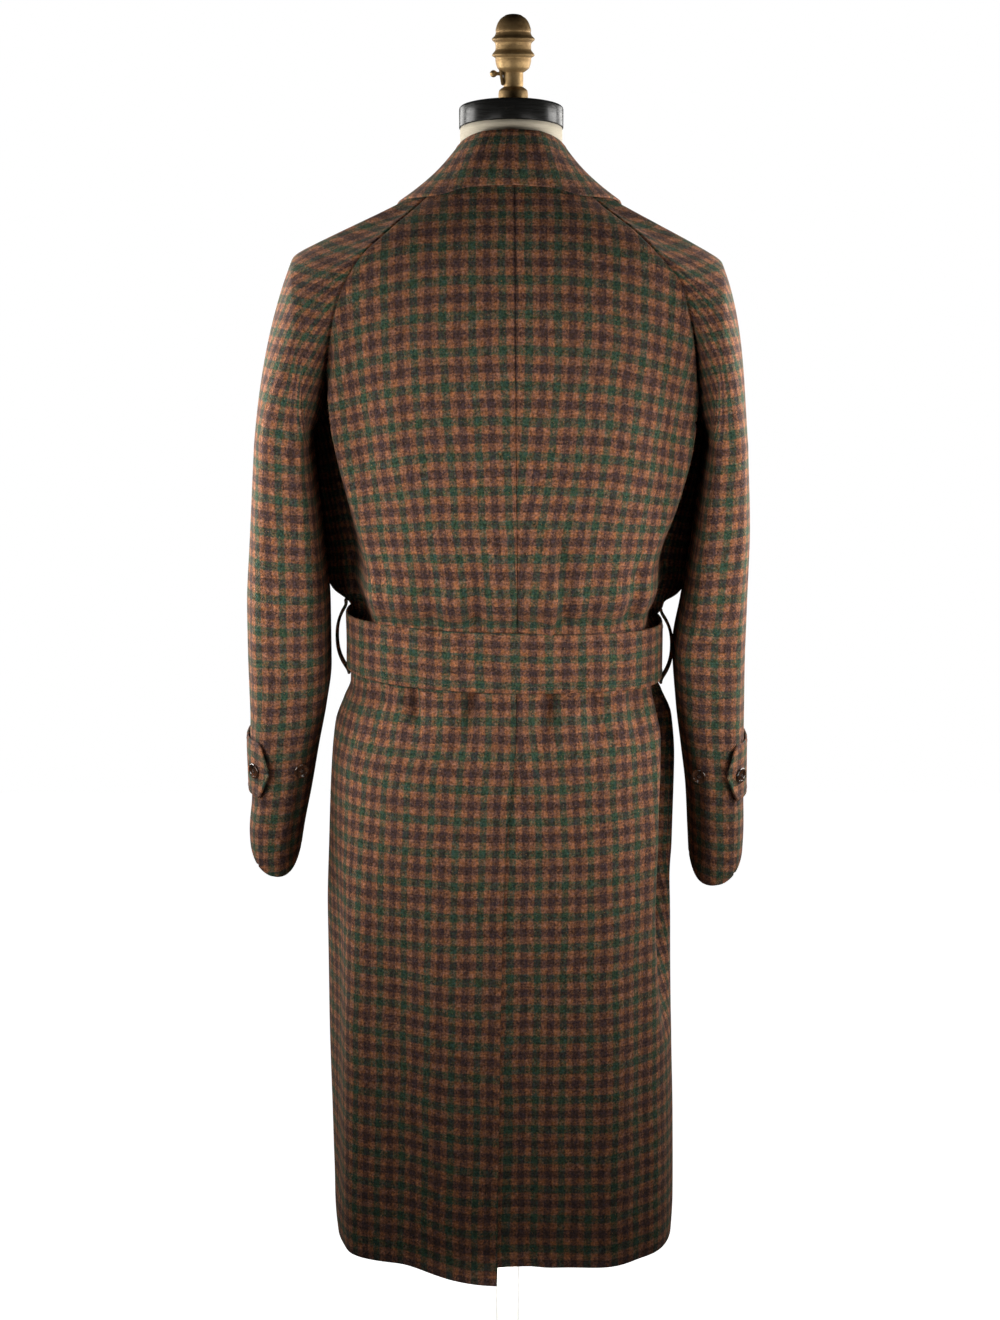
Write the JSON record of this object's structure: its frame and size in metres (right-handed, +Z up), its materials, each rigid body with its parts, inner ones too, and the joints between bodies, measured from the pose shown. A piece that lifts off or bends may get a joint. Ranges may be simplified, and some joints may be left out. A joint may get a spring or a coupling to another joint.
{
  "type": "double-breasted overcoat on a dress form",
  "caption": "Belted double-breasted wool overcoat with raglan sleeves and a turned-down collar, hanging on a limbless dress form with a pole and a round base.",
  "frame": {"origin": "centre of the round base's underside, on the floor", "axes": "+Z up, -Y is the coat's front, +X is the wearer's left"},
  "size_m": [0.5463, 0.35, 1.7305],
  "materials": {
    "wool_check": "brushed wool twill in a small green, rust and plum check",
    "horn": "polished mottled brown horn",
    "linen": "plain ivory linen cover",
    "black_lacquer": "gloss black",
    "aged_brass": "aged, polished on the high edges",
    "pale_enamel": "satin off-white enamel on steel tube",
    "cast_iron": "satin black painted iron"
  },
  "bodies": {
    "root": {"back_left": "wool_check", "back_right": "wool_check", "base": "cast_iron", "belt": "wool_check", "belt_end": "wool_check", "belt_loop_left": "wool_check", "belt_loop_right": "wool_check", "buckle": "horn", "collar_leaf": "wool_check", "collar_stand": "wool_check", "finial": "aged_brass", "form_torso": "linen", "front_button_left_1": "horn", "front_button_left_2": "horn", "front_button_left_3": "horn", "front_button_right_1": "horn", "front_button_right_2": "horn", "front_button_right_3": "horn", "front_left": "wool_check", "front_right": "wool_check", "lapel_left": "wool_check", "lapel_right": "wool_check", "neck_cap": "black_lacquer", "pole": "pale_enamel", "pole_collar": "pale_enamel", "sleeve_button_left": "horn", "sleeve_button_right": "horn", "sleeve_left_back": "wool_check", "sleeve_left_front": "wool_check", "sleeve_right_back": "wool_check", "sleeve_right_front": "wool_check", "tab_button_left": "horn", "tab_button_right": "horn", "tab_left": "wool_check", "tab_right": "wool_check"},
    "thumb_screw": {"thumb_screw": "aged_brass"}
  },
  "joints": [
    {"name": "screw_turn", "type": "hinge", "parent": "root", "child": "thumb_screw", "pos_m": [-0.005, 0, 1.6723], "axis": [1, 0, 0], "continuous": true}
  ]
}
